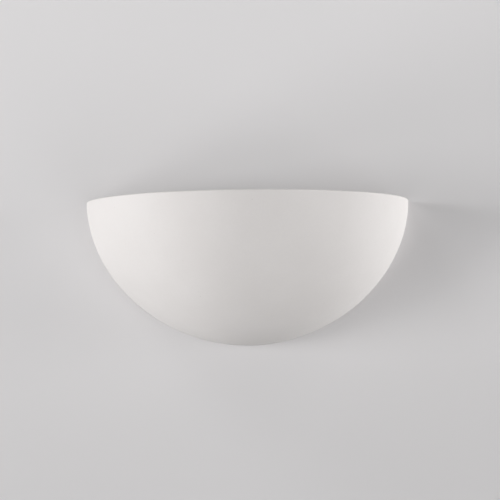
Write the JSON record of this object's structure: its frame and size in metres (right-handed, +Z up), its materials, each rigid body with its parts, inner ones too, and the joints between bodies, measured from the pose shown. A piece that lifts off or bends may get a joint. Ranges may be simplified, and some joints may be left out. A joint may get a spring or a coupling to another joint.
{
  "type": "uplighter wall sconce",
  "caption": "Half-bowl uplighter for a wall: a plain matt cast bowl, open at the top and the back, clamped to a hidden steel bracket with a side-mounted lampholder and lamp.",
  "frame": {"origin": "centre of the wall fixing slots, on the wall plane", "axes": "+Y into the wall, +Z up, +X to the right as seen from the room"},
  "size_m": [0.32, 0.16, 0.143],
  "materials": {
    "cast_bowl": "matt unglazed, warm white",
    "painted_steel": "satin white powder coat",
    "zinc_plate": "bright zinc plate",
    "zinc_screws": "bright zinc plate, turned",
    "nickel_tube": "nickel plate",
    "turned_brass": "turned, bare",
    "brass_sheet": "rolled, bare",
    "black_rubber": "matt",
    "holder_plastic": "satin moulded white",
    "white_ceramic": "bare steatite",
    "lamp_nickel": "nickel plated, drawn",
    "lamp_solder": "tinned",
    "lamp_insulator": "black vitrite",
    "lamp_body": "moulded white",
    "opal_globe": "opal, satin",
    "board_aluminium": "white solder mask",
    "phosphor": "yellow phosphor",
    "green_board": "solder mask",
    "terminal_plastic": "natural nylon",
    "tinned_copper": "tinned",
    "brown_insulation": "silicone",
    "blue_insulation": "silicone",
    "earth_insulation": "green and yellow silicone"
  },
  "bodies": {
    "bracket": {"wall_bracket": "painted_steel", "entry_grommet": "black_rubber", "holder_arm": "painted_steel", "arm_screws": "zinc_screws", "arm_grommet": "black_rubber", "nipple": "nickel_tube", "nipple_locknut": "nickel_tube", "holder_cap": "holder_plastic", "holder_core": "white_ceramic", "holder_skirt": "holder_plastic", "screw_shell": "brass_sheet", "centre_leaf": "brass_sheet", "side_strap": "brass_sheet", "holder_terminals": "turned_brass", "holder_terminal_screws": "zinc_screws", "terminal_body": "terminal_plastic", "terminal_inserts": "turned_brass", "terminal_screws": "zinc_screws", "terminal_fixing_screw": "zinc_screws", "earth_stud": "turned_brass", "earth_ring": "tinned_copper", "earth_washer": "tinned_copper", "earth_nut": "turned_brass", "live_wire": "brown_insulation", "neutral_wire": "blue_insulation", "earth_wire": "earth_insulation", "wire_ferrules": "tinned_copper", "wire_clip": "terminal_plastic"},
    "bowl": {"plaster_bowl": "cast_bowl", "plate_inserts": "turned_brass", "hanger_plate_left": "zinc_plate", "hanger_plate_right": "zinc_plate", "plate_screws": "zinc_screws", "thumb_washers": "zinc_plate"},
    "clamp_screw_left": {"thumbscrew_left": "turned_brass"},
    "clamp_screw_right": {"thumbscrew_right": "turned_brass"},
    "clamp_nut_left": {"nut_plate_left": "zinc_plate"},
    "clamp_nut_right": {"nut_plate_right": "zinc_plate"},
    "lamp_tip": {"lamp_contact": "lamp_solder", "cap_insulator": "lamp_insulator"},
    "lamp": {"lamp_cap": "lamp_nickel", "lamp_housing": "lamp_body", "lamp_envelope": "opal_globe", "led_board": "board_aluminium", "led_chips": "phosphor", "driver_board": "green_board"}
  },
  "joints": [
    {"name": "bowl_draw", "type": "slide", "parent": "bracket", "child": "bowl", "axis": [0, -1, 0], "range_m": [0, 0.11]},
    {"name": "clamp_left_turn", "type": "hinge", "parent": "bowl", "child": "clamp_screw_left", "pos_m": [-0.104, -0.016, 0.018], "axis": [0, 0, 1], "range_deg": [0, 1080]},
    {"name": "nut_left_drop", "type": "slide", "parent": "bowl", "child": "clamp_nut_left", "axis": [0, 0, -1], "range_m": [0, 0.0024]},
    {"name": "clamp_right_turn", "type": "hinge", "parent": "bowl", "child": "clamp_screw_right", "pos_m": [0.104, -0.016, 0.018], "axis": [0, 0, 1], "range_deg": [0, 1080]},
    {"name": "nut_right_drop", "type": "slide", "parent": "bowl", "child": "clamp_nut_right", "axis": [0, 0, -1], "range_m": [0, 0.0024]},
    {"name": "lamp_travel", "type": "slide", "parent": "bracket", "child": "lamp_tip", "axis": [1, 0, 0], "range_m": [0, 0.0128]},
    {"name": "lamp_turn", "type": "hinge", "parent": "lamp_tip", "child": "lamp", "pos_m": [-0.096, -0.064, 0], "axis": [1, 0, 0], "range_deg": [0, 1260]}
  ],
  "couplings": [
    {"joint": "nut_left_drop", "follows": "clamp_left_turn", "m_per_rad": 0.00012732},
    {"joint": "nut_right_drop", "follows": "clamp_right_turn", "m_per_rad": 0.00012732},
    {"joint": "lamp_travel", "follows": "lamp_turn", "m_per_rad": 0.00057757}
  ]
}
